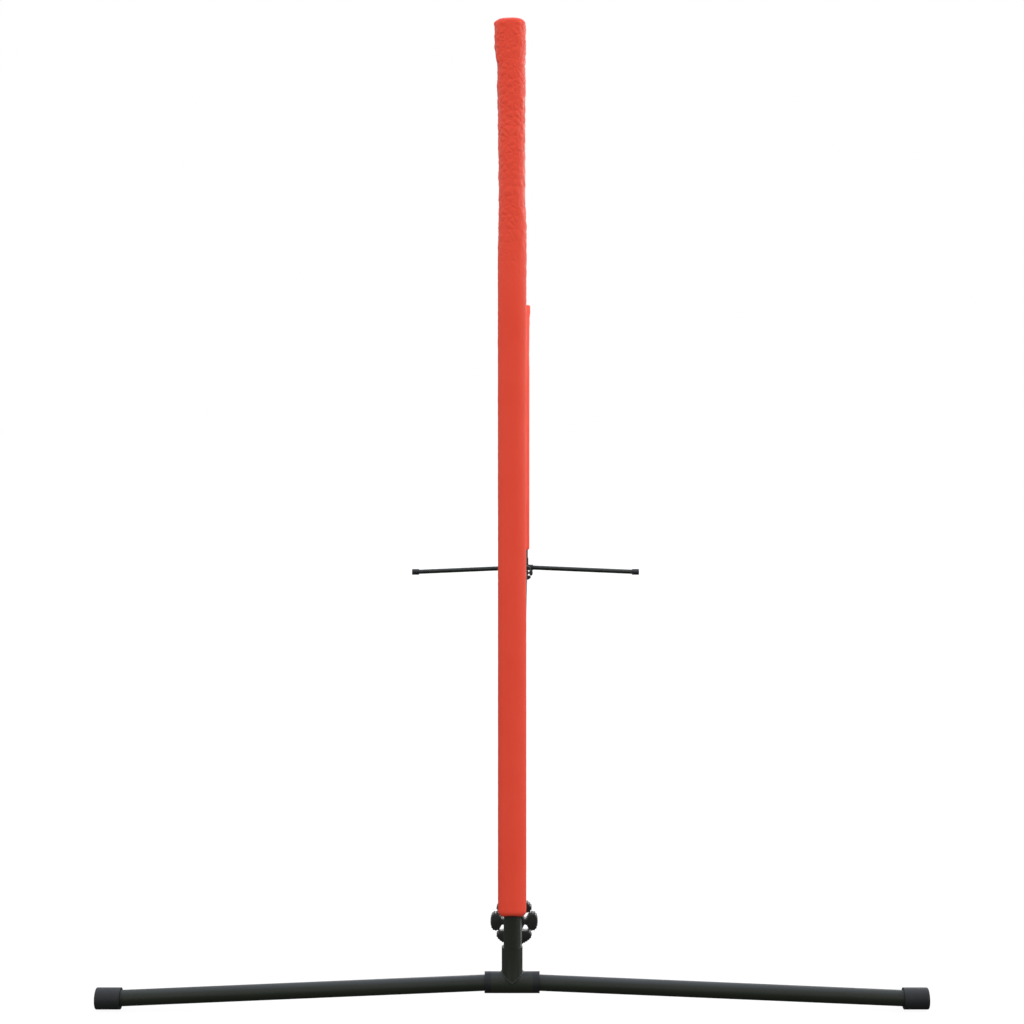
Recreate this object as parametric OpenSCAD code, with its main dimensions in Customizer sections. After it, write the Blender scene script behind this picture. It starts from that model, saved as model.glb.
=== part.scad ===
// Portable training net: a net with two end sleeves, hung on two tubular uprights
// that stand in welded steel feet, which a clamped crossbar along the ground keeps apart.
// X runs along the feet, Y runs along the net, Z is up, and the ground is at zero.

/* [Net] */
// Distance between the two uprights
span = 5970; // [3000:10:6500]
// Height of the top of the end sleeves
net_top = 1189; // [1100:1:1300]
// Height of the lower edge of the net and of its sleeves
net_bottom = 111; // [90:1:200]
// Outer diameter of an end sleeve
sleeve_d = 33.6; // [33:0.1:40]
// Outer diameter of the thick head of an end sleeve
sleeve_head_d = 38; // [36:0.5:44]
// Height of the thick head
sleeve_head_h = 39; // [30:1:60]
// Wall of the coated cloth, with its hem
sleeve_wall = 1.2; // [1:0.1:1.3]
// Length of the flat seam that joins the sleeve to the net
seam_reach = 46; // [40:1:60]
// Thickness of the flat seams and bands
band_t = 2.4; // [1.5:0.1:4]
// Height of the band along the top edge
top_band_h = 50; // [30:1:80]
// Height of the band along the bottom edge
bottom_band_h = 38; // [25:1:60]
// Thickness of the knotted mesh
mesh_t = 1.6; // [1.2:0.1:4]
// Diameter of the head cord in the top hem
cord_d = 4; // [2:0.5:5]

/* [Uprights] */
// Outer diameter of the lower section
pole_d = 20.4; // [19:0.1:20.8]
// Outer diameter of the upper section
upper_d = 17.6; // [15:0.1:17.8]
// Height at which the lower section ends
lower_top = 934; // [700:1:1000]
// Length of upper section held in the lower one
pole_overlap = 80; // [40:1:120]
// Diameter of the plastic cap on the upright
cap_d = 26; // [22:0.5:28.5]
// Height of the plastic cap on the upright
cap_h = 34; // [24:1:45]

/* [Stand] */
// Width over the two foot caps
stand_w = 1000; // [700:10:1200]
// Height of the axis of the hub and of the crossbar
hub_z = 32; // [32:0.5:40]
// Outer diameter of the hub's cross tube
tee_d = 25.4; // [25.2:0.1:28]
// Outer diameter of the upright's socket
socket_d = 25; // [24.6:0.1:25]
// Height of the socket's mouth
socket_top = 75; // [70:1:120]
// Outer diameter of the stub that takes the crossbar
stub_d = 22; // [21.6:0.1:24]
// Length of the stub from the upright's axis
stub_len = 271; // [120:1:320]
// Width over the collars of the two leg bushes
tee_w = 66; // [60:1:90]
// Width of a leg bush's collar
collar_w = 8; // [4:0.5:10]
// Outer diameter of a leg
leg_d = 19; // [16:0.1:19.4]
// Height of a leg's axis at the mouth of its foot cap
leg_end_z = 12.8; // [12.6:0.1:13]
// Outer diameter of a foot cap
foot_d = 25.5; // [25:0.1:26]
// Length of a foot cap
foot_len = 30; // [25:1:45]

/* [Crossbar] */
// Outer diameter of the crossbar
bar_d = 16; // [14:0.1:16.4]
// Number of sections that plug together
bar_sections = 6; // [2:1:8]
// Length of the spigot on each section but the last
spigot_len = 50; // [30:1:80]
// Distance from the upright's axis to the end of the crossbar
bar_inset = 60; // [30:1:150]
// Radius of the star nut over its lobes
nut_r = 31.6; // [28:0.1:31.6]
// Thickness of the star nut
nut_w = 15; // [14:0.5:18]

/* [Hidden] */
$fn = 64;
clearance = 0.1;
rest_gap = 0.3;
tube_wall = 1.2;
tee_bore = 22;
stub_bore = stub_d - 2.6;
socket_bore = pole_d + 0.6;
tee_half = tee_w / 2 - collar_w;
bush_depth = 20;
socket_floor = hub_z + tee_d / 2;
pole_foot = socket_floor + rest_gap;
leg_cross_x = 19;
foot_mouth_x = stand_w / 2 - foot_len;
leg_drop = atan((hub_z - leg_end_z) / (foot_mouth_x - leg_cross_x));
leg_inner = 13;
leg_outer = (stand_w / 2 - 4.5 - leg_cross_x) / cos(leg_drop);
foot_z = foot_d / 2 - 0.3;
foot_round = 1.5;
section_len = (span - 2 * bar_inset) / bar_sections;
bar_wall = 1;
swage = 5;
nut_y = stub_len - 8.5;
nut_hub_d = 28;
lobe_count = 6;
lobe_w = 22.6;
lobe_inner_r = 17.2;
lobe_round = 4.5;
neck_w = 9;
collet_depth = 20;
collet_collar_w = 3;
collet_collar_d = stub_d - 0.8;
slit_w = 1.6;
roof_t = 1.6;
cap_top = net_top - roof_t - rest_gap;
pole_top = cap_top - 8;
cap_round = 6;
head_round = 7;
seam_y = span / 2 - seam_reach;
hem_r = 3.6;
cord_z = net_top - 5;
front = -1;
rear = 1;
left = -1;
right = 1;

// Places a piece drawn at the origin, with its inboard side along +Y, at one end of the net
module at_end(end) translate([0, end * span / 2, 0]) rotate([0, 0, end == front ? 0 : 180]) children();

// Places a piece drawn for the +X side of the stand at either side of either end
module at_side(end, side)
    translate([0, end * span / 2, 0]) rotate([0, 0, side == right ? 0 : 180]) children();

// A straight tube or rod along +Y from one place to another
module along_y(from, to, d) translate([0, from, 0]) rotate([-90, 0, 0]) cylinder(d = d, h = to - from);

// A rod along +X from one place to another
module along_x(from, to, d) translate([from, 0, 0]) rotate([0, 90, 0]) cylinder(d = d, h = to - from);

// Carries a rod along +Z onto a leg's drooping axis
module on_leg() translate([leg_cross_x, 0, hub_z]) rotate([0, 90 + leg_drop, 0]) children();

// Half the outline of a turned pin whose far edge is rounded, for rotate_extrude
module rounded_half(r, h, round) {
    square([r, h - round]);
    square([r - round, h]);
    translate([r - round, h - round]) circle(r = round);
}

module base(end) color("#26292b") at_end(end) difference() {
    union() {
        translate([0, 0, hub_z]) along_x(-tee_half, tee_half, tee_d);
        translate([0, 0, hub_z]) cylinder(d = socket_d, h = socket_top - hub_z);
        translate([0, 0, hub_z]) along_y(0, stub_len, stub_d);
    }
    translate([0, 0, hub_z]) along_x(-tee_half - 1, tee_half + 1, tee_bore);
    translate([0, 0, socket_floor]) cylinder(d = socket_bore, h = socket_top);
    translate([0, 0, hub_z]) along_y(tee_d / 2, stub_len + 1, stub_bore);
}

module leg_bush(end, side) color("#16181a") at_side(end, side) difference() {
    translate([0, 0, hub_z]) union() {
        along_x(tee_half - bush_depth, tee_half + 1, tee_bore - clearance);
        along_x(tee_half, tee_half + collar_w, tee_d);
    }
    on_leg() translate([0, 0, -2 * bush_depth]) cylinder(d = leg_d + clearance, h = 4 * bush_depth);
}

module leg(end, side) color("#26292b") at_side(end, side) on_leg() difference() {
    translate([0, 0, -leg_inner]) cylinder(d = leg_d, h = leg_inner + leg_outer);
    translate([0, 0, -leg_inner - 1]) cylinder(d = leg_d - 2 * tube_wall, h = leg_inner + leg_outer + 2);
}

module foot(end, side) color("#141516") at_side(end, side) difference() {
    translate([foot_mouth_x, 0, foot_z]) rotate([0, 90, 0])
        rotate_extrude() rounded_half(foot_d / 2, foot_len, foot_round);
    on_leg() cylinder(d = leg_d + clearance, h = leg_outer + clearance);
    translate([0, -foot_d, -foot_d]) cube([stand_w, 2 * foot_d, foot_d]);
}

module collet(end) color("#303234") at_end(end) translate([0, 0, hub_z]) difference() {
    union() {
        along_y(stub_len - collet_depth, stub_len + 1, stub_bore - clearance);
        along_y(stub_len, stub_len + collet_collar_w, collet_collar_d);
    }
    along_y(stub_len - 2 * collet_depth, stub_len + collet_depth, bar_d + clearance);
    for (turn = [0, 90])
        rotate([0, turn, 0]) translate([-collet_collar_d, stub_len - collet_depth / 2, -slit_w / 2])
            cube([2 * collet_collar_d, collet_depth, slit_w]);
}

// One head of the star nut, a block with round corners on a narrow neck
module lobe() {
    reach = nut_r - lobe_inner_r;
    translate([lobe_inner_r / 2, -neck_w / 2]) square([reach, neck_w]);
    translate([lobe_inner_r + lobe_round, -lobe_w / 2]) square([reach - 2 * lobe_round, lobe_w]);
    translate([lobe_inner_r, lobe_round - lobe_w / 2]) square([reach, lobe_w - 2 * lobe_round]);
    for (x = [lobe_inner_r + lobe_round, nut_r - lobe_round], y = [-1, 1])
        translate([x, y * (lobe_w / 2 - lobe_round)]) circle(r = lobe_round);
}

module star_nut(end) color("#3a3c3e") at_end(end) translate([0, 0, hub_z]) difference() {
    translate([0, nut_y + nut_w, 0]) rotate([90, 0, 0]) linear_extrude(nut_w) intersection() {
        circle(r = nut_r);
        union() {
            circle(d = nut_hub_d);
            for (i = [0 : lobe_count - 1]) rotate(i * 360 / lobe_count) lobe();
        }
    }
    along_y(0, stub_len + collet_collar_w + rest_gap, stub_d + 2 * clearance);
    along_y(0, stub_len + nut_w, bar_d + 0.8);
}

// Section i of the crossbar: a tube whose rear end is swaged down to plug into the next one
module crossbar(i) color("#26292b")
    translate([0, bar_inset - span / 2 + (i - 1) * section_len, hub_z]) rotate([-90, 0, 0]) rotate_extrude() {
        r = bar_d / 2;
        step = bar_wall + clearance / 2;
        end = i < bar_sections ? section_len + spigot_len : section_len;
        polygon(i < bar_sections
            ? [[r - bar_wall, 0], [r, 0], [r, section_len - swage], [r - step, section_len],
               [r - step, end], [r - step - bar_wall, end], [r - step - bar_wall, section_len],
               [r - bar_wall, section_len - swage]]
            : [[r - bar_wall, 0], [r, 0], [r, end], [r - bar_wall, end]]);
    }

module pole_lower(end) color("#26292b") at_end(end) difference() {
    translate([0, 0, pole_foot]) cylinder(d = pole_d, h = lower_top - pole_foot);
    translate([0, 0, socket_floor - 1]) cylinder(d = upper_d + clearance, h = lower_top);
}

module pole_upper(end) color("#26292b") at_end(end) difference() {
    translate([0, 0, lower_top - pole_overlap]) cylinder(d = upper_d, h = pole_top - lower_top + pole_overlap);
    translate([0, 0, lower_top - pole_overlap - 1]) cylinder(d = upper_d - 2 * tube_wall, h = pole_top);
}

module pole_cap(end) color("#141516") at_end(end) difference() {
    translate([0, 0, cap_top - cap_h]) rotate_extrude() rounded_half(cap_d / 2, cap_h, cap_round);
    translate([0, 0, cap_top - cap_h - 1]) cylinder(d = upper_d + clearance, h = pole_top - cap_top + cap_h + 1);
}

module sleeve(end) color("#d44a3b") at_end(end) difference() {
    union() {
        translate([0, 0, net_bottom]) cylinder(d = sleeve_d, h = net_top - net_bottom - head_round);
        translate([0, 0, net_top - sleeve_head_h])
            rotate_extrude() rounded_half(sleeve_head_d / 2, sleeve_head_h, head_round);
        translate([-band_t / 2, 0, net_bottom]) cube([band_t, seam_reach, net_top - net_bottom - 1]);
    }
    translate([0, 0, net_bottom - 1])
        cylinder(d = sleeve_d - 2 * sleeve_wall, h = net_top - roof_t - net_bottom + 1);
}

// A flat strip in the plane of the net, from seam to seam
module strip(bottom, top, thick) translate([-thick / 2, -seam_y, bottom]) cube([thick, 2 * seam_y, top - bottom]);

module net_mesh() color("#1c1d1f") strip(net_bottom + bottom_band_h, net_top - top_band_h, mesh_t);

module top_band() color("#d44a3b") difference() {
    union() {
        strip(net_top - top_band_h, cord_z, band_t);
        translate([0, 0, cord_z]) along_y(-seam_y, seam_y, 2 * hem_r);
    }
    translate([0, 0, cord_z]) along_y(-span, span, cord_d + clearance);
}

module bottom_band() color("#d44a3b") strip(net_bottom, net_bottom + bottom_band_h, band_t);

module head_cord() color("#e8e6df") translate([0, 0, cord_z]) along_y(-seam_y, seam_y, cord_d);

base(front);  // base_front
base(rear);  // base_rear
leg_bush(front, left);  // leg_bush_front_left
leg_bush(front, right);  // leg_bush_front_right
leg_bush(rear, left);  // leg_bush_rear_left
leg_bush(rear, right);  // leg_bush_rear_right
leg(front, left);  // leg_front_left
leg(front, right);  // leg_front_right
leg(rear, left);  // leg_rear_left
leg(rear, right);  // leg_rear_right
foot(front, left);  // foot_front_left
foot(front, right);  // foot_front_right
foot(rear, left);  // foot_rear_left
foot(rear, right);  // foot_rear_right
collet(front);  // collet_front
collet(rear);  // collet_rear
star_nut(front);  // star_nut_front
star_nut(rear);  // star_nut_rear
crossbar(1);  // crossbar_1
crossbar(2);  // crossbar_2
crossbar(3);  // crossbar_3
crossbar(4);  // crossbar_4
crossbar(5);  // crossbar_5
crossbar(6);  // crossbar_6
pole_lower(front);  // pole_lower_front
pole_lower(rear);  // pole_lower_rear
pole_upper(front);  // pole_upper_front
pole_upper(rear);  // pole_upper_rear
pole_cap(front);  // pole_cap_front
pole_cap(rear);  // pole_cap_rear
sleeve(front);  // sleeve_front
sleeve(rear);  // sleeve_rear
net_mesh();
top_band();
bottom_band();
head_cord();
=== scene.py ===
import math

import bmesh
import bpy
from mathutils import Matrix, Vector, noise


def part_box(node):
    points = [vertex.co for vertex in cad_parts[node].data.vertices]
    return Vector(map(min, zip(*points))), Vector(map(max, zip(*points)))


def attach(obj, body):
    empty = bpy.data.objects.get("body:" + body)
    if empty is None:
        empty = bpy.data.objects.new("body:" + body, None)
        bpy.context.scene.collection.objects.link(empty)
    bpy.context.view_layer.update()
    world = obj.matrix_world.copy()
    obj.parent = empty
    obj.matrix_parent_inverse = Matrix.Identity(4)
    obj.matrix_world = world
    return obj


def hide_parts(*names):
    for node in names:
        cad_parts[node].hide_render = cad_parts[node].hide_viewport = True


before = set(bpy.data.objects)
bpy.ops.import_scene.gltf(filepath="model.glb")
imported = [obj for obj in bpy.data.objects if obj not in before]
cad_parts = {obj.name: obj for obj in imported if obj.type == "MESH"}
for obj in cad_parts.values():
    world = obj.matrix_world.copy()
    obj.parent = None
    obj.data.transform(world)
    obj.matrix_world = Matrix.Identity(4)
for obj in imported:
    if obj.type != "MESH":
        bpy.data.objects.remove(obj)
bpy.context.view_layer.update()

# ---------------------------------------------------------------------------
# The camera stands level in line with the net, a little to its right and well
# back from the near upright, so that the whole net hides behind one sleeve.
ENDS = ("front", "rear")
CAMERA_RIGHT = 0.0221
CAMERA_BACK = 2.2350
CAMERA_UP = 0.7168


def middle(node):
    """The middle of a CAD node, which for a tube lies on its axis."""
    low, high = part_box(node)
    return (low + high) / 2


upright_y = {end: middle(f"pole_lower_{end}").y for end in ENDS}
camera = bpy.data.objects.new("camera", bpy.data.cameras.new("camera"))
bpy.context.scene.collection.objects.link(camera)
bpy.context.scene.camera = camera
camera.data.sensor_width = 36
camera.data.lens = 65.4
camera.data.shift_x = -0.0181
camera.data.shift_y = -0.0975
camera.location = (CAMERA_RIGHT, upright_y["front"] - CAMERA_BACK, CAMERA_UP)
camera.rotation_euler = (math.radians(90), 0, 0)


# ---------------------------------------------------------------------------
# The studio: a seamless white floor, a white surround, and large soft panels above,
# on both sides, behind the camera and beyond the far end. The right one is the
# strongest, and brightens the right edge of the cloth.
FLOOR_HALF = 60
FLOOR_GLOW = 0.93


def linear(code):
    """An sRGB hex colour as the linear RGBA that Blender's sockets take."""
    parts = [int(code[i:i + 2], 16) / 255 for i in (0, 2, 4)]
    return [c / 12.92 if c <= 0.04045 else ((c + 0.055) / 1.055) ** 2.4 for c in parts] + [1]


def add(tree, kind, inputs=(), **settings):
    """Adds a shader node. Each input is set to a value, or linked if it is another node's socket."""
    node = tree.nodes.new("ShaderNode" + kind)
    for name, value in settings.items():
        setattr(node, name, value)
    for socket, value in dict(inputs).items():
        if isinstance(value, bpy.types.NodeSocket):
            tree.links.new(value, node.inputs[socket])
        else:
            node.inputs[socket].default_value = value
    return node


def new_material(name, **constants):
    """A material and its node tree and Principled shader, with the constant sockets set."""
    material = bpy.data.materials.new(name)
    material.use_nodes = True
    shader = material.node_tree.nodes["Principled BSDF"]
    for socket, value in constants.items():
        shader.inputs[socket.replace("_", " ")].default_value = value
    return material, material.node_tree, shader


def mesh_object(name, bm, material, smooth=True):
    """Makes a bmesh into an object at the origin, in one material."""
    mesh = bpy.data.meshes.new(name)
    bm.to_mesh(mesh)
    bm.free()
    mesh.polygons.foreach_set("use_smooth", [smooth] * len(mesh.polygons))
    mesh.materials.append(material)
    made = bpy.data.objects.new(name, mesh)
    bpy.context.scene.collection.objects.link(made)
    return made


# matt white floor paint, part of whose white is its own light, so that it neither
# darkens far off nor glares
paper, tree, shader = new_material("matt_white_studio_floor", Roughness=0.9)
mottle = add(tree, "TexNoise", {"Scale": 3.0, "Detail": 2.0})
shade = add(tree, "Mix", {"Factor": mottle.outputs["Fac"], "A": linear("3c3c3c"), "B": linear("404040")},
            data_type="RGBA")
tree.links.new(shade.outputs["Result"], shader.inputs["Base Color"])
shader.inputs["Emission Color"].default_value = linear("ffffff")
shader.inputs["Emission Strength"].default_value = FLOOR_GLOW
bm = bmesh.new()
bmesh.ops.create_grid(bm, x_segments=1, y_segments=1, size=FLOOR_HALF)
floor = mesh_object("studio_floor", bm, paper, smooth=False)
floor.visible_diffuse = False
floor.visible_glossy = False

world = bpy.data.worlds.new("studio")
bpy.context.scene.world = world
world.use_nodes = True
tree = world.node_tree
seen = add(tree, "LightPath")
way = add(tree, "SeparateXYZ", {0: add(tree, "TexCoord").outputs["Generated"]})
up = add(tree, "MapRange", {"Value": way.outputs["Z"], "From Min": -0.25, "From Max": 0.45,
                            "To Min": 0.06, "To Max": 0.62})
strength = add(tree, "Mix", {"Factor": seen.outputs["Is Camera Ray"], "A": up.outputs["Result"], "B": 1.0})
background = tree.nodes["Background"]
background.inputs["Color"].default_value = (1, 1, 1, 1)
tree.links.new(strength.outputs["Result"], background.inputs["Strength"])

PANELS = (
    # name, place, what it points at, width across, length, watts, colour
    ("panel_above", (0.0, 0.0, 3.6), (0.0, 0.0, 0.0), 3.0, 9.0, 150, "d5e2ff"),
    ("panel_right", (3.2, -0.3, 1.5), (0.0, -1.2, 0.6), 2.4, 9.0, 235, "ffffff"),
    ("panel_left", (-3.4, -1.2, 1.9), (0.0, -1.2, 0.5), 2.4, 9.0, 65, "ffffff"),
    ("panel_front", (-0.4, -8.2, 2.0), (0.0, -3.0, 0.6), 3.4, 3.0, 172, "ffffff"),
    ("panel_rear", (-0.6, 8.2, 2.6), (0.0, 3.0, 0.5), 3.0, 2.4, 90, "ffffff"),
)
for name, place, target, across, length, watts, tint in PANELS:
    data = bpy.data.lights.new(name, "AREA")
    data.color = linear(tint)[:3]
    data.shape, data.size, data.size_y, data.energy = "RECTANGLE", across, length, watts
    panel = bpy.data.objects.new(name, data)
    bpy.context.scene.collection.objects.link(panel)
    panel.location = place
    aim = Vector(target) - Vector(place)
    # the panel behind the camera only fills, and leaves no streak along the tubes
    panel.visible_glossy = name != "panel_front"
    panel.rotation_euler = aim.to_track_quat("-Z", "Y" if abs(aim.x) < 0.1 else "X").to_euler()
bpy.context.scene.view_settings.view_transform = "Standard"


# ---------------------------------------------------------------------------
# The steel: two hubs, each a cross tube with an upright socket and a stub for the
# crossbar, four legs, six crossbar sections and the uprights. All are drawn tube
# with a satin black polyester powder coat, which leaves a faint orange peel.
MM = 0.001
JOIN = 0.002 * MM
RIM_ANGLE = 32


def powder_coat(name, coat, light):
    """Powder-coated steel: a dark skin with a soft sheen, pebbled at about a millimetre."""
    material, tree, shader = new_material(name, Specular_IOR_Level=0.42, Coat_Weight=0.0)
    place = add(tree, "TexCoord").outputs["Object"]
    drift = add(tree, "TexNoise", {"Vector": place, "Scale": 9.0, "Detail": 3.0})
    colour = add(tree, "Mix", {"Factor": drift.outputs["Fac"], "A": linear(coat), "B": linear(light)},
                 data_type="RGBA")
    peel = add(tree, "TexNoise", {"Vector": place, "Scale": 1 / (1.4 * MM), "Detail": 1.5})
    grain = add(tree, "TexNoise", {"Vector": place, "Scale": 1 / (0.3 * MM), "Detail": 1.0})
    gloss = add(tree, "MapRange", {"Value": drift.outputs["Fac"], "To Min": 0.36, "To Max": 0.5})
    pebble = add(tree, "Bump", {"Height": peel.outputs["Fac"], "Distance": 0.05 * MM, "Strength": 0.6})
    dust = add(tree, "Bump", {"Height": grain.outputs["Fac"], "Distance": 0.01 * MM, "Strength": 0.5,
                              "Normal": pebble.outputs["Normal"]})
    tree.links.new(colour.outputs["Result"], shader.inputs["Base Color"])
    tree.links.new(gloss.outputs["Result"], shader.inputs["Roughness"])
    tree.links.new(dust.outputs["Normal"], shader.inputs["Normal"])
    return material


def finish_node(node, material):
    """Gives a CAD node its material, and smooth tube walls between its sharp rims."""
    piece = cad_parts[node]
    piece.data.materials.clear()
    piece.data.materials.append(material)
    piece.data.polygons.foreach_set("use_smooth", [True] * len(piece.data.polygons))
    weld = piece.modifiers.new("join", "WELD")
    weld.merge_threshold = JOIN
    split = piece.modifiers.new("rims", "EDGE_SPLIT")
    split.split_angle = math.radians(RIM_ANGLE)


steel = powder_coat("powder_coated_steel", "171c14", "20241d")
for node in sorted(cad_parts):
    if node.startswith(("base_", "leg_front", "leg_rear", "crossbar_", "pole_lower", "pole_upper")):
        finish_node(node, steel)


# ---------------------------------------------------------------------------
# The welds. The socket stands on the cross tube in a saddle, and the stub meets
# it from the inboard side, each run round with one fillet bead before coating.
SOCKET_R = 12.5 * MM
STUB_R = 11.0 * MM
BEAD_R = 1.3 * MM
BEAD_STEPS = 96
BEAD_RIPPLES = 24
BEAD_RIPPLE = 0.12
bar_z = middle("star_nut_front").z


def to_end(end):
    """Carries a mesh made about the origin, inboard along +Y, to one end of the net.
    The rear stand is the front one turned half round."""
    turn = Matrix.Rotation(0 if end == "front" else math.pi, 4, "Z")
    return Matrix.Translation((0, upright_y[end], 0)) @ turn


def bead(name, end, tube_r, other_r, along_z):
    """A closed weld bead where a tube of one radius stands on the cross tube."""
    curve = bpy.data.curves.new(name, "CURVE")
    curve.dimensions = "3D"
    curve.bevel_depth = BEAD_R
    curve.bevel_resolution = 3
    line = curve.splines.new("POLY")
    line.points.add(BEAD_STEPS - 1)
    for i, point in enumerate(line.points):
        turn = 2 * math.pi * i / BEAD_STEPS
        across, over = tube_r * math.cos(turn), tube_r * math.sin(turn)
        rise = math.sqrt(max(other_r ** 2 - over ** 2, 0.0))
        place = Vector((across, over, rise)) if along_z else Vector((across, rise, over))
        point.co = (*(to_end(end) @ (place + Vector((0, 0, bar_z)))), 1)
        point.radius = 1 + BEAD_RIPPLE * math.sin(BEAD_RIPPLES * turn)
    line.use_cyclic_u = True
    curve.materials.append(steel)
    made = bpy.data.objects.new(name, curve)
    bpy.context.scene.collection.objects.link(made)
    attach(made, "frame")


hub_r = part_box("leg_bush_front_left")[1].z - bar_z
for end in ENDS:
    bead(f"socket_weld_{end}", end, SOCKET_R, hub_r, True)
    bead(f"stub_weld_{end}", end, STUB_R, hub_r, False)


# ---------------------------------------------------------------------------
# The plastics: bushes that centre the legs in the hub, foot caps pressed over the
# legs, the caps on the uprights and the split collets. They are moulded black
# polyethylene and nylon, duller than the tubes, with the fine grain of the tool.
SIDES = ("left", "right")


def moulded_plastic(name, dark, light, roughness, shine=0.38):
    """Moulded plastic: an even dark body with a fine spark-eroded grain, which spreads the light."""
    material, tree, shader = new_material(name, Specular_IOR_Level=shine)
    place = add(tree, "TexCoord").outputs["Object"]
    cloud = add(tree, "TexNoise", {"Vector": place, "Scale": 60.0, "Detail": 3.0})
    colour = add(tree, "Mix", {"Factor": cloud.outputs["Fac"], "A": linear(dark), "B": linear(light)},
                 data_type="RGBA")
    grain = add(tree, "TexNoise", {"Vector": place, "Scale": 1 / (0.5 * MM), "Detail": 3.0})
    gloss = add(tree, "MapRange", {"Value": cloud.outputs["Fac"], "To Min": roughness - 0.05,
                                   "To Max": roughness + 0.07})
    spark = add(tree, "Bump", {"Height": grain.outputs["Fac"], "Distance": 0.05 * MM, "Strength": 0.6})
    tree.links.new(colour.outputs["Result"], shader.inputs["Base Color"])
    tree.links.new(gloss.outputs["Result"], shader.inputs["Roughness"])
    tree.links.new(spark.outputs["Normal"], shader.inputs["Normal"])
    return material


# three black polyethylenes and nylons, and the greyer nylon of the collets
foot_plastic = moulded_plastic("moulded_polyethylene_foot", "191a1b", "222324", 0.5)
bush_plastic = moulded_plastic("moulded_nylon_bush", "131415", "1b1c1d", 0.48)
cap_plastic = moulded_plastic("moulded_polyethylene_cap", "1a1a1b", "222323", 0.55)
collet_plastic = moulded_plastic("moulded_nylon_collet", "222325", "2b2c2e", 0.5)
for end in ENDS:
    finish_node(f"collet_{end}", collet_plastic)
    finish_node(f"pole_cap_{end}", cap_plastic)
    for side in SIDES:
        finish_node(f"leg_bush_{end}_{side}", bush_plastic)
        finish_node(f"foot_{end}_{side}", foot_plastic)


# ---------------------------------------------------------------------------
# The star hand nuts, which close the collets on the crossbar. Each is one nylon
# moulding: a hub and six mushroom-shaped grips on narrow necks, all edges well
# rounded, and fine ribs along the grips for the fingers.
GRIPS = 6
GRIP_R = 31.1 * MM
RIB_R = 1.1 * MM
RIB_SHOWS = 0.8 * MM
RIB_STEP = 3.4 * MM
RIB_INSET = 2.6 * MM
RIBS_FROM_R = 22.5 * MM
GRIP_EDGE = 1.4 * MM
NUT_HUB_R = 14 * MM
NUT_EDGE = 1 * MM
LIP = 3.2 * MM
STUB_PLAY = 0.1 * MM
BAR_PLAY = 0.4 * MM
NUT_RIM_ANGLE = 30
SLIVER = 0.02 * MM
TIP_ANGLES = (-0.18, -0.09, 0, 0.09, 0.18)
CORNER_SHARE = 0.8
# Half of one grip's outline from the gap between two grips outwards: how far from the
# axis, how far from the grip's own centre line, and the radius that rounds the corner
GRIP_OUTLINE = ((11.8, 4.4, 2.0), (16.6, 3.7, 2.5), (20.2, 11.3, 4.2), (28.6, 11.5, 4.6))


def nut_body(thickness):
    """The nut as one shell about the Y axis, from the plane y = 0 inboard."""
    bm = bmesh.new()
    rounding = {}
    for i in range(GRIPS):
        turn = Matrix.Rotation(i * 2 * math.pi / GRIPS, 3, "Y")
        half = [(Vector((u, 0, v)), r) for u, v, r in GRIP_OUTLINE]
        tip = [(Vector((GRIP_R / MM * math.cos(a), 0, GRIP_R / MM * math.sin(a))), 0)
               for a in TIP_ANGLES]
        there = [(Vector((p.x, 0, -p.z)), r) for p, r in half]
        for place, r in there + tip + half[::-1]:
            vert = bm.verts.new(turn.inverted() @ place * MM)
            rounding.setdefault(r, []).append(vert)
    bm.faces.new(bm.verts)
    for r in sorted(r for r in rounding if r):
        bmesh.ops.bevel(bm, geom=rounding[r], offset=r * MM * CORNER_SHARE, segments=6, profile=0.5,
                        affect="VERTICES", material=-1)
    bm.faces.ensure_lookup_table()
    star = bm.faces[0]
    outline = [vert.co.copy() for vert in star.verts]
    grown = bmesh.ops.extrude_face_region(bm, geom=[star])["geom"]
    far_side = [part for part in grown if isinstance(part, bmesh.types.BMVert)]
    bmesh.ops.translate(bm, vec=(0, thickness, 0), verts=far_side)
    bmesh.ops.recalc_face_normals(bm, faces=bm.faces)
    sharp = [e for e in bm.edges if e.calc_face_angle(0) > 1]
    rims = [e for e in sharp if abs(e.verts[0].co.y - e.verts[1].co.y) < 1e-6]
    bmesh.ops.bevel(bm, geom=rims, offset=GRIP_EDGE, segments=3, profile=0.5, affect="EDGES", material=-1)
    return bm, outline


def cylinder_y(bm, radius, start, end, segments=48, centre=(0, 0)):
    """A closed cylinder about an axis along Y."""
    turn = Matrix.Rotation(math.pi / 2, 4, "X")
    place = Matrix.Translation((centre[0], (start + end) / 2, centre[1])) @ turn
    return bmesh.ops.create_cone(bm, cap_ends=True, segments=segments, radius1=radius, radius2=radius,
                                 depth=end - start, matrix=place)["verts"]


def boolean(piece, tool, operation):
    """Joins or cuts one closed mesh with another, and applies the result."""
    step = piece.modifiers.new("step", "BOOLEAN")
    step.object, step.operation, step.solver = tool, operation, "EXACT"
    bpy.context.view_layer.update()
    shape = piece.evaluated_get(bpy.context.evaluated_depsgraph_get())
    mesh = bpy.data.meshes.new_from_object(shape)
    piece.modifiers.clear()
    old, piece.data = piece.data, mesh
    bpy.data.meshes.remove(old)
    bpy.data.objects.remove(tool)
    bm = bmesh.new()
    bm.from_mesh(mesh)
    bmesh.ops.remove_doubles(bm, verts=bm.verts, dist=SLIVER)
    bmesh.ops.dissolve_degenerate(bm, edges=bm.edges, dist=SLIVER)
    bm.to_mesh(mesh)
    bm.free()


low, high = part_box("crossbar_3")
bar_r = (high.x - low.x) / 2
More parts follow.
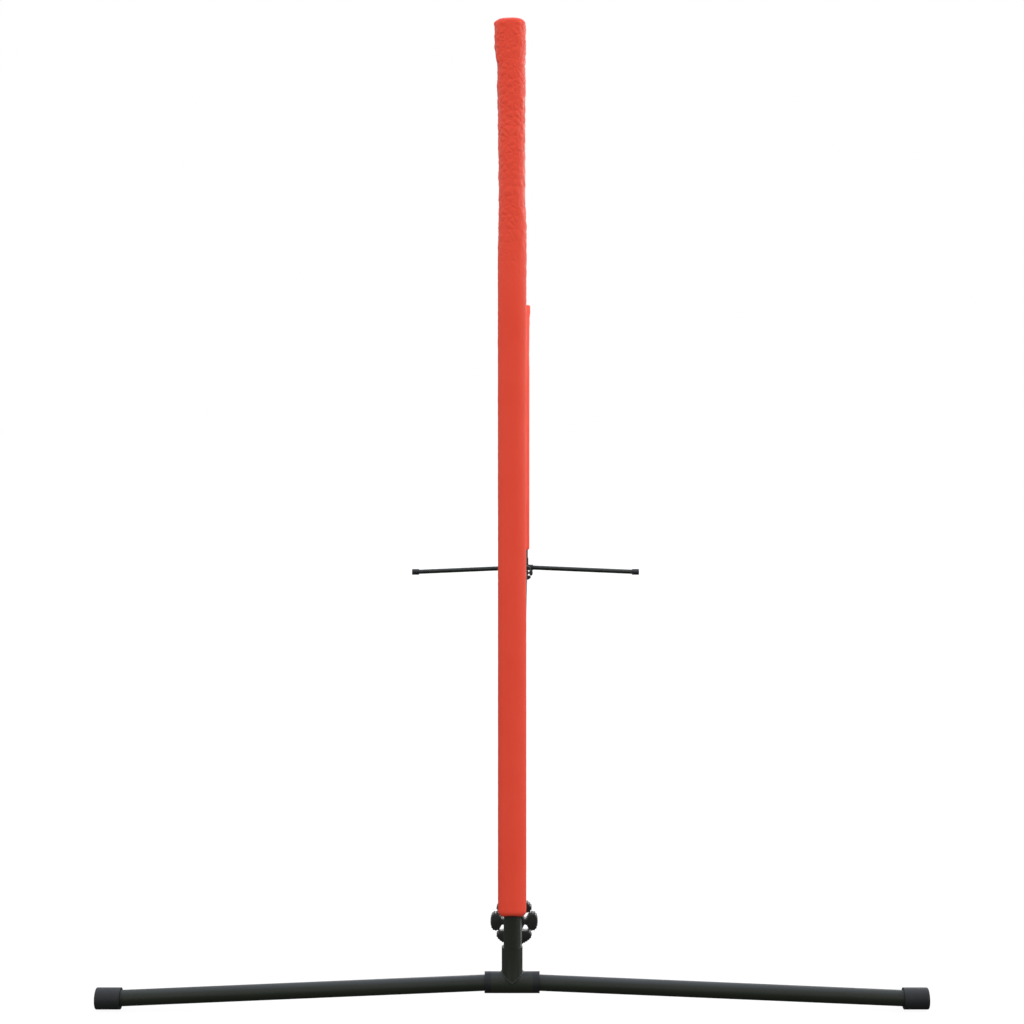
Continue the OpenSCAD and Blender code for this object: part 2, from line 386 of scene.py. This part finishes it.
# glass-filled nylon, moulded with a harder shine than the caps and bushes
nut_plastic = moulded_plastic("moulded_glass_filled_nylon_nut", "1c1e1b", "282a27", 0.3, 0.65)
for end in ENDS:
    low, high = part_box(f"star_nut_{end}")
    thick = high.y - low.y
    reach_in = abs((low.y + high.y) / 2 - upright_y[end]) - thick / 2
    body, outline = nut_body(thick - 2 * NUT_EDGE)
    nut = mesh_object(f"star_grip_{end}", body, nut_plastic)
    nut.data.transform(Matrix.Translation((0, NUT_EDGE, 0)))
    bm = bmesh.new()
    cylinder_y(bm, NUT_HUB_R, 0, thick)
    rims = [e for e in bm.edges if e.calc_face_angle(0) > 1]
    bmesh.ops.bevel(bm, geom=rims, offset=NUT_EDGE, segments=3, profile=0.5, affect="EDGES", material=-1)
    boolean(nut, mesh_object("hub", bm, nut_plastic), "UNION")
    bm = bmesh.new()
    walked = 0.0
    for here, there in zip(outline, outline[1:] + outline[:1]):
        length = (there - here).length
        while walked < length:
            spot = here.lerp(there, walked / length)
            if spot.length > RIBS_FROM_R:
                inward = -spot.normalized() * (RIB_R - RIB_SHOWS)
                centre = (spot.x + inward.x, spot.z + inward.z)
                cylinder_y(bm, RIB_R, RIB_INSET, thick - RIB_INSET, 8, centre)
            walked += RIB_STEP
        walked -= length
    boolean(nut, mesh_object("ribs", bm, nut_plastic), "UNION")
    bm = bmesh.new()
    cylinder_y(bm, STUB_R + STUB_PLAY, -NUT_EDGE, thick - LIP)
    boolean(nut, mesh_object("bore", bm, nut_plastic), "DIFFERENCE")
    bm = bmesh.new()
    cylinder_y(bm, bar_r + BAR_PLAY, -NUT_EDGE, thick + NUT_EDGE)
    boolean(nut, mesh_object("mouth", bm, nut_plastic), "DIFFERENCE")
    nut.data.transform(to_end(end) @ Matrix.Translation((0, reach_in, bar_z)))
    nut.data.polygons.foreach_set("use_smooth", [True] * len(nut.data.polygons))
    split = nut.modifiers.new("rims", "EDGE_SPLIT")
    split.split_angle = math.radians(NUT_RIM_ANGLE)
    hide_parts(f"star_nut_{end}")
    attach(nut, f"{end}_nut")


# ---------------------------------------------------------------------------
# The end sleeves. Each is one panel of coated polyester, folded round the upright,
# sewn to itself in a flat seam towards the net, closed over the pole cap and drawn
# in at its hem. It lies smooth low down, and keeps creases from its bag near the top.
# The sleeve's shape is in mm, and is turned into metres when it is placed.
SLEEVE_STATIONS = (
    # height, half width to the left, half width to the right, depth of the creases
    (111, 16.8, 16.8, 0.10),
    (500, 16.8, 16.8, 0.12),
    (860, 16.9, 16.9, 0.25),
    (905, 17.0, 17.1, 0.45),
    (935, 16.4, 16.9, 0.75),
    (971, 15.5, 15.5, 0.80),
    (1007, 15.9, 15.2, 0.80),
    (1043, 16.5, 15.5, 0.80),
    (1079, 16.8, 15.4, 0.90),
    (1115, 17.6, 15.9, 1.00),
    (1130, 17.3, 15.2, 1.00),
    (1145, 19.0, 15.8, 1.00),
    (1156, 20.3, 16.3, 1.00),
    (1175, 20.5, 16.0, 1.00),
    (1189, 20.5, 16.0, 1.00),
)
SLEEVE_OUT = 16.8
SLEEVE_IN = 27.0
SEAM_HALF = 1.3
CLOTH_T = 0.5 * MM
HEM_ROUND = 7.5
HEM_DRAW = 6.0
HEM_LIFT = 0.6
HEM_LEVEL = 3.0
HEM_REACH = 40
HEM_STEPS = 6
TOP_ROUND = 6.5
TOP_STEPS = 5
ROUND_TURNS = 36
ROW_STEP = 2.2
CREASE_GAIN = 2.6
CREASE_MEAN = 0.12
CREASE_SIZES = (13, 6)
CREASE_SLANT = 0.8
RIPPLE = 0.5
RIPPLE_SIZE = 18
SEAM_STEPS = 6
SEAM_WAVE = 0.25
SEAM_WAVE_SIZE = 40
# heights in metres between which the creases set in
CREASED_FROM = 0.84
CREASED_TO = 0.98
THREAD_PITCH = 0.8 * MM


def station(height):
    """The sleeve's half widths and crease depth at a height, eased between the stations."""
    for below, above in zip(SLEEVE_STATIONS, SLEEVE_STATIONS[1:]):
        if height <= above[0]:
            t = max(0.0, (height - below[0]) / (above[0] - below[0]))
            t = t * t * (3 - 2 * t)
            return [a + (b - a) * t for a, b in zip(below[1:], above[1:])]
    return SLEEVE_STATIONS[-1][1:]


def crease(place, size):
    """The height of crushed cloth, flat facets between sharp folds, from 0 to about 1."""
    near = noise.voronoi(place / size)[0]
    return min(1.0, near[1] - near[0])


def strip_object(name, rows, material, thickness):
    """Cloth through rows of points, with a UV map in metres along and across, given a thickness."""
    bm = bmesh.new()
    wide, tall = len(rows[0]), len(rows)
    bmesh.ops.create_grid(bm, x_segments=wide - 1, y_segments=tall - 1, size=1)
    uv = bm.loops.layers.uv.new("cloth")
    across = [0.0]
    for a, b in zip(rows[len(rows) // 2], rows[len(rows) // 2][1:]):
        across.append(across[-1] + (b - a).length)
    along = [0.0]
    for a, b in zip(rows, rows[1:]):
        along.append(along[-1] + (b[len(b) // 2] - a[len(a) // 2]).length)
    bm.verts.ensure_lookup_table()
    order = sorted(bm.verts, key=lambda v: (round(v.co.y, 6), round(v.co.x, 6)))
    cell = {vert: divmod(k, wide) for k, vert in enumerate(order)}
    for vert, (i, j) in cell.items():
        vert.co = rows[i][j]
        for loop in vert.link_loops:
            loop[uv].uv = (across[j], along[i])
    bmesh.ops.remove_doubles(bm, verts=bm.verts, dist=0.01 * MM)
    made = mesh_object(name, bm, material)
    wall = made.modifiers.new("thickness", "SOLIDIFY")
    wall.thickness, wall.offset = thickness, 0
    return made


def wave_scale(pitch):
    """The Scale of a wave texture whose bands lie a pitch apart, in metres."""
    return 2 * math.pi / (20 * pitch)


def coated_cloth(name, base, worn, crushed):
    """Polyurethane-coated polyester: a close plain weave under a thin skin, which glints on creases."""
    material, tree, shader = new_material(name, Specular_IOR_Level=0.22, Sheen_Weight=0.02,
                                          Sheen_Roughness=0.4)
    shader.inputs["Sheen Tint"].default_value = linear("ff5a46")
    shader.inputs["Specular Tint"].default_value = linear("ffb0a4")
    place = add(tree, "TexCoord").outputs["Object"]
    flat = add(tree, "UVMap", uv_map="cloth").outputs["UV"]
    drift = add(tree, "TexNoise", {"Vector": place, "Scale": 14.0, "Detail": 4.0})
    colour = add(tree, "Mix", {"Factor": drift.outputs["Fac"], "A": linear(base), "B": linear(worn)},
                 data_type="RGBA")
    # threads are 0.4 mm apart on the real cloth, and are drawn at 0.8 mm so that they show
    warp = add(tree, "TexWave", {"Vector": flat, "Scale": wave_scale(THREAD_PITCH), "Distortion": 0.4},
               bands_direction="X")
    weft = add(tree, "TexWave", {"Vector": flat, "Scale": wave_scale(THREAD_PITCH), "Distortion": 0.4},
               bands_direction="Y")
    weave = add(tree, "Math", {0: warp.outputs["Fac"], 1: weft.outputs["Fac"]}, operation="MULTIPLY")
    thread = add(tree, "Bump", {"Height": weave.outputs[0], "Distance": 0.04 * MM, "Strength": 0.8})
    folds = add(tree, "TexVoronoi", {"Vector": place, "Scale": 1 / (8 * MM)}, feature="DISTANCE_TO_EDGE")
    height = add(tree, "SeparateXYZ", {0: place}).outputs["Z"]
    high_up = add(tree, "MapRange", {"Value": height, "From Min": CREASED_FROM, "From Max": CREASED_TO,
                                      "To Max": crushed})
    fold = add(tree, "Bump", {"Height": folds.outputs["Distance"], "Distance": 2.0 * MM,
                              "Strength": high_up.outputs["Result"], "Normal": thread.outputs["Normal"]})
    glazed = add(tree, "MapRange", {"Value": height, "From Min": CREASED_FROM, "From Max": CREASED_TO,
                                    "To Min": 0.66, "To Max": 0.48})
    gloss = add(tree, "MapRange", {"Value": drift.outputs["Fac"], "To Min": -0.05, "To Max": 0.05})
    gloss = add(tree, "Math", {0: gloss.outputs["Result"], 1: glazed.outputs["Result"]}, operation="ADD")
    tree.links.new(colour.outputs["Result"], shader.inputs["Base Color"])
    tree.links.new(gloss.outputs[0], shader.inputs["Roughness"])
    tree.links.new(fold.outputs["Normal"], shader.inputs["Normal"])
    return material


def sleeve_seed(end):
    """Where a sleeve takes its creases from in the noise, so that the two sleeves differ."""
    return Vector((3.1, 7.7, 1.3)) * (1 if end == "front" else 29)


def seam_reach(end):
    """How far a sleeve's seam reaches from its upright, in metres."""
    low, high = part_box(f"sleeve_{end}")
    return max(abs(low.y - upright_y[end]), abs(high.y - upright_y[end]))


def seam_wave(y, height, seed):
    """How far the seam has wandered sideways, in mm, at a place given in mm."""
    return SEAM_WAVE * noise.noise(Vector((0, y, height)) / SEAM_WAVE_SIZE + seed)


def sleeve_row(height, sink, seed, reach):
    """One level of the sleeve, from seam tip to seam tip, in mm about the upright.
    sink is how far the hem or the top has drawn the cloth in towards the upright."""
    left, right, depth = station(height)
    row = []
    for i in range(-ROUND_TURNS, ROUND_TURNS + 1):
        turn = math.pi * i / ROUND_TURNS
        wide = (right if i > 0 else left) - sink
        if abs(turn) <= math.pi / 2:
            spot = Vector((wide * math.sin(turn), -(SLEEVE_OUT - sink) * math.cos(turn), height))
        else:
            y = -(SLEEVE_IN - sink) * math.cos(turn)
            spot = Vector((wide * math.sin(turn) ** 2 * (1 if i > 0 else -1), y, height))
        if abs(turn) < math.pi / 2:
            # the draw thread pulls the outer half of the hem up, most of all at its middle
            low_part = max(0.0, 1 - (height - SLEEVE_STATIONS[0][0]) / HEM_REACH)
            spot.z += low_part * (HEM_LEVEL * math.cos(turn) ** 2 + HEM_LIFT)
        flat = Vector((spot.x, spot.y, 0)).normalized()
        near_seam = max(0.0, (abs(turn) / math.pi - 0.8) / 0.2)
        slant = Vector((spot.x, spot.y, spot.z + CREASE_SLANT * spot.x))
        large, small = CREASE_SIZES
        shape = 0.6 * crease(slant + seed, large) + 0.4 * crease(slant + seed * 2, small)
        ripple = RIPPLE * noise.noise(Vector((spot.x, spot.y, spot.z * 0.4)) / RIPPLE_SIZE + seed)
        side = 0.2 + 0.8 * math.sin(turn) ** 2
        spot += flat * depth * side * (CREASE_GAIN * (shape - CREASE_MEAN) + ripple) * (1 - near_seam)
        if abs(turn) > math.pi / 2:
            spot.x = math.copysign(max(abs(spot.x), SEAM_HALF), i)
        row.append(spot)
    first = row[0].y
    for k in range(1, SEAM_STEPS + 1):
        y = first + (reach - first) * k / SEAM_STEPS
        wave = seam_wave(y, height, seed)
        row.insert(0, Vector((wave - SEAM_HALF, y, height)))
        row.append(Vector((wave + SEAM_HALF, y, height)))
    return row


# bright red coated polyester, crushed at its head
red_cloth = coated_cloth("coated_polyester_sleeve", "e24f3c", "d84532", 0.8)
for end in ENDS:
    low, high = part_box(f"sleeve_{end}")
    bottom, top = low.z / MM, high.z / MM
    rows = []
    for k in range(HEM_STEPS):
        a = math.pi / 2 * k / HEM_STEPS
        rows.append((bottom + HEM_ROUND * (1 - math.cos(a)), HEM_DRAW * (1 - math.sin(a))))
    straight = top - TOP_ROUND - bottom - HEM_ROUND
    count = round(straight / ROW_STEP)
    for k in range(count + 1):
        rows.append((bottom + HEM_ROUND + straight * k / count, 0.0))
    for k in range(1, TOP_STEPS + 1):
        a = math.pi / 2 * k / TOP_STEPS
        rows.append((top - TOP_ROUND + (TOP_ROUND - 0.5) * math.sin(a), TOP_ROUND * (1 - math.cos(a))))
    points = [sleeve_row(z, sink, sleeve_seed(end), seam_reach(end) / MM) for z, sink in rows]
    for share in (0.75, 0.4, 0.0):
        points.append([Vector((p.x * share, (p.y * (1 + share) + q.y * (1 - share)) / 2, p.z))
                       for p, q in zip(points[-1], reversed(points[-1]))])
    carry = to_end(end)
    sleeve = strip_object(f"sleeve_cloth_{end}", [[carry @ (p * MM) for p in row] for row in points],
                          red_cloth, CLOTH_T)
    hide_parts(f"sleeve_{end}")
    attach(sleeve, "net")


# ---------------------------------------------------------------------------
# The thread. The seam of each sleeve is closed with two rows of lock stitch, and the
# same polyester thread holds the bands. A stitch goes right through, so one short
# bar shows on both faces.
STITCH_L = 3.2 * MM
STITCH_PITCH = 4.5 * MM
STITCH_D = 0.7 * MM
STITCH_MARGIN = 12 * MM
STITCH_ROWS = (4 * MM, 12 * MM)


def thread_material():
    """Bonded polyester sewing thread: a shade darker than the cloth, with a faint lustre."""
    material, tree, shader = new_material("bonded_polyester_thread", Roughness=0.45, Specular_IOR_Level=0.4)
    place = add(tree, "TexCoord").outputs["Object"]
    ply = add(tree, "TexNoise", {"Vector": place, "Scale": 1 / (0.5 * MM), "Detail": 1.0})
    colour = add(tree, "Mix", {"Factor": ply.outputs["Fac"], "A": linear("8e2a20"), "B": linear("b5392b")},
                 data_type="RGBA")
    lay = add(tree, "Bump", {"Height": ply.outputs["Fac"], "Distance": 0.1 * MM, "Strength": 0.5})
    tree.links.new(colour.outputs["Result"], shader.inputs["Base Color"])
    tree.links.new(lay.outputs["Normal"], shader.inputs["Normal"])
    return material


def stitch(bm, place, through, along_z):
    """One stitch, a bar of thread as long through the cloth as it has to be."""
    size = (through, STITCH_D, STITCH_L) if along_z else (through, STITCH_L, STITCH_D)
    bmesh.ops.create_cube(bm, size=1, matrix=Matrix.LocRotScale(place, None, Vector(size)))


thread = thread_material()
for end in ENDS:
    low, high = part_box(f"sleeve_{end}")
    bm = bmesh.new()
    count = int((high.z - low.z - 2 * STITCH_MARGIN) / STITCH_PITCH)
    for inset in STITCH_ROWS:
        y = seam_reach(end) - inset
        for k in range(count):
            z = low.z + STITCH_MARGIN + k * STITCH_PITCH
            wave = seam_wave(y / MM, z / MM, sleeve_seed(end)) * MM
            stitch(bm, Vector((wave, y, z)), 2 * SEAM_HALF * MM + CLOTH_T + 0.5 * MM, True)
    bmesh.ops.transform(bm, matrix=to_end(end), verts=bm.verts)
    rows_of_thread = mesh_object(f"sleeve_stitches_{end}", bm, thread, smooth=False)
    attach(rows_of_thread, "net")


# ---------------------------------------------------------------------------
# The mesh of the net: knotted black polyethylene twine in square holes, one sheet
# laced between the two seams and the two bands. It hangs a little unevenly, as
# knotted mesh does.
TWINE_D = 2.8 * MM
HOLE = 40 * MM
TUCK = 8 * MM
HELD_TO = 150 * MM
STRAND_GAP = 0.3 * MM
TWINE_SIDES = 5
TWINE_LAY = 1.6 * MM
KNOT_R = 2.7 * MM
KNOT_FLAT = 0.6
# two sizes of unevenness, each as its length in metres and how far it moves the twine in mm
SWAYS = ((0.11, 1.2), (0.6, 2))
NET_SEED = 5


def twine_material():
    """Twisted polyethylene twine: dull black, with a painted highlight, a lighter colour along the crest of
    each strand.
    """
    material, tree, shader = new_material("twisted_polyethylene_twine", Roughness=0.55,
                                          Specular_IOR_Level=0.35)
    place = add(tree, "TexCoord").outputs["Object"]
    lay = add(tree, "Mapping", {"Vector": place, "Rotation": (math.radians(45), 0, 0)})
    strands = add(tree, "TexWave", {"Vector": lay.outputs["Vector"], "Scale": wave_scale(TWINE_LAY)},
                  bands_direction="Y")
    # painted highlight: each strand's crest, where the twist bump stands highest, is coloured lighter,
    # 2a2b2e over 141517
    colour = add(tree, "Mix", {"Factor": strands.outputs["Fac"], "A": linear("141517"),
                               "B": linear("2a2b2e")}, data_type="RGBA")
    twist = add(tree, "Bump", {"Height": strands.outputs["Fac"], "Distance": 0.2 * MM, "Strength": 0.7})
    tree.links.new(colour.outputs["Result"], shader.inputs["Base Color"])
    tree.links.new(twist.outputs["Normal"], shader.inputs["Normal"])
    return material


low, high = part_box("net_mesh")
low, high = low - Vector((0, TUCK, TUCK)), high + Vector((0, TUCK, TUCK))
columns = round((high.y - low.y) / HOLE)
lines = round((high.z - low.z) / HOLE)
step_y, step_z = (high.y - low.y) / columns, (high.z - low.z) / lines
bm = bmesh.new()
bmesh.ops.create_icosphere(bm, subdivisions=1, radius=KNOT_R)
bmesh.ops.scale(bm, vec=(KNOT_FLAT, 1.0, 1.0), verts=bm.verts)
# a strand stops short of the middle of its knots, so that it doesn't meet the next one
cylinder_y(bm, TWINE_D / 2, STRAND_GAP, step_y - STRAND_GAP, TWINE_SIDES)
upright_strand = cylinder_y(bm, TWINE_D / 2, STRAND_GAP, step_z - STRAND_GAP, TWINE_SIDES)
bmesh.ops.transform(bm, matrix=Matrix.Rotation(math.pi / 2, 4, "X"), verts=upright_strand)
bmesh.ops.translate(bm, vec=(0, low.y, low.z), verts=bm.verts)
twine = twine_material()
net_mesh = mesh_object("net_mesh_twine", bm, twine)
for count, step in ((columns, (0, step_y, 0)), (lines, (0, 0, step_z))):
    repeat = net_mesh.modifiers.new("repeat", "ARRAY")
    repeat.count = count
    repeat.use_relative_offset, repeat.use_constant_offset = False, True
    repeat.constant_offset_displace = step
bpy.context.view_layer.update()
spread = bpy.data.meshes.new_from_object(net_mesh.evaluated_get(bpy.context.evaluated_depsgraph_get()))
net_mesh.modifiers.clear()
net_mesh.data = spread
# unseeded, noise_vector would give another net each time
noise.seed_set(NET_SEED)
for vert in spread.vertices:
    to_edge = min(vert.co.z - low.z, high.z - vert.co.z, vert.co.y - low.y, high.y - vert.co.y)
    inside = min(to_edge - 1.5 * TUCK, HELD_TO) / HELD_TO
    drift = sum((noise.noise_vector(vert.co / size) * far * MM for size, far in SWAYS), Vector())
    vert.co += drift * max(0.0, inside)
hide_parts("net_mesh")
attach(net_mesh, "net")


# ---------------------------------------------------------------------------
# The bands. Each is a strip of the same coated cloth folded lengthwise over the
# edge of the mesh and sewn through with two rows of thread. The top one has a
# tunnel at the fold for the head cord.
BAND_STEP = 12 * MM
BAND_OVERLAP = 14 * MM
EDGE_STEPS = 8
# The outline of a band and how far it wanders are in mm.
BAND_HALF = 2.0
BOTTOM_SHARE = 0.97
TUNNEL_R = 3.3
TUNNEL_FROM = -60
TUNNEL_SWEEP = 300
TUNNEL_STEPS = 16
NECK = 1.5
TOP_WANDER = 1.2
BOTTOM_WANDER = 2.0
RUCK = 0.25


def band_slip(y, start, finish, wander):
    """How far the band has wandered sideways at y, in mm, and how free it is there, from 0 at
    its two sewn ends to 1."""
    held = max(0.0, min(1.0, (y - start) / (6 * BAND_STEP), (finish - y) / (6 * BAND_STEP)))
    return wander * held * noise.noise(Vector((0.3, y / 0.45, 5.1))), held


def band_rows(start, finish, outline, wander):
    """The folded strip's outline, in mm across and up, carried along the net with a slight wander."""
    count = round((finish - start) / BAND_STEP)
    rows = []
    for k in range(count + 1):
        y = start + (finish - start) * k / count
        slip, held = band_slip(y, start, finish, wander)
        ruck = RUCK * held * noise.noise(Vector((0.7, y / 0.03, 2.2)))
        rows.append([Vector(((x + slip + ruck * (1 if x > 0 else 0.6)) * MM, y, z * MM))
                     for x, z in outline])
    return rows


def band_stitches(name, start, finish, levels, wander):
    """Rows of stitches through a band at the given heights in metres."""
    bm = bmesh.new()
    for z in levels:
        for k in range(int((finish - start) / STITCH_PITCH) - 2):
            y = start + (k + 1.5) * STITCH_PITCH
            slip = band_slip(y, start, finish, wander)[0]
            stitch(bm, Vector((slip * MM, y, z)), 2 * BAND_HALF * MM + CLOTH_T + 0.6 * MM, False)
    made = mesh_object(name, bm, thread, smooth=False)
    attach(made, "net")


low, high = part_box("top_band")
cord_z = middle("head_cord").z / MM
tunnel = []
for k in range(TUNNEL_STEPS + 1):
    a = math.radians(TUNNEL_FROM + TUNNEL_SWEEP * k / TUNNEL_STEPS)
    tunnel.append((TUNNEL_R * math.cos(a), cord_z + TUNNEL_R * math.sin(a)))
neck_z = cord_z - TUNNEL_R - NECK
down = [neck_z + (low.z / MM - neck_z) * k / EDGE_STEPS for k in range(EDGE_STEPS + 1)]
top_outline = [(BAND_HALF, z) for z in reversed(down)] + tunnel + [(-BAND_HALF, z) for z in down]
# the same red coated polyester, hardly creased
band_cloth = coated_cloth("coated_polyester_band", "de4a36", "d4402e", 0.15)
start, finish = low.y - BAND_OVERLAP, high.y + BAND_OVERLAP
top_rows = band_rows(start, finish, top_outline, TOP_WANDER)
top_band = strip_object("top_band_cloth", top_rows, band_cloth, CLOTH_T)
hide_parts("top_band")
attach(top_band, "net")

band_stitches("top_band_stitches", start, finish, (low.z + STITCH_ROWS[0], neck_z * MM), TOP_WANDER)

low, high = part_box("bottom_band")
start, finish = low.y - BAND_OVERLAP, high.y + BAND_OVERLAP
up = [low.z / MM + BAND_HALF + (high.z - low.z) / MM * k / EDGE_STEPS * BOTTOM_SHARE
      for k in range(EDGE_STEPS + 1)]
fold = [(BAND_HALF * math.cos(a), low.z / MM + BAND_HALF + BAND_HALF * math.sin(a))
        for a in (-math.pi / 6, -math.pi / 3, -math.pi / 2, -2 * math.pi / 3, -5 * math.pi / 6)]
bottom_outline = [(BAND_HALF, z) for z in reversed(up)] + fold + [(-BAND_HALF, z) for z in up]
bottom_rows = band_rows(start, finish, bottom_outline, BOTTOM_WANDER)
bottom_band = strip_object("bottom_band_cloth", bottom_rows, band_cloth, CLOTH_T)
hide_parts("bottom_band")
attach(bottom_band, "net")

levels = [high.z - inset for inset in STITCH_ROWS]
band_stitches("bottom_band_stitches", start, finish, levels, BOTTOM_WANDER)

finish_node("head_cord", twine)
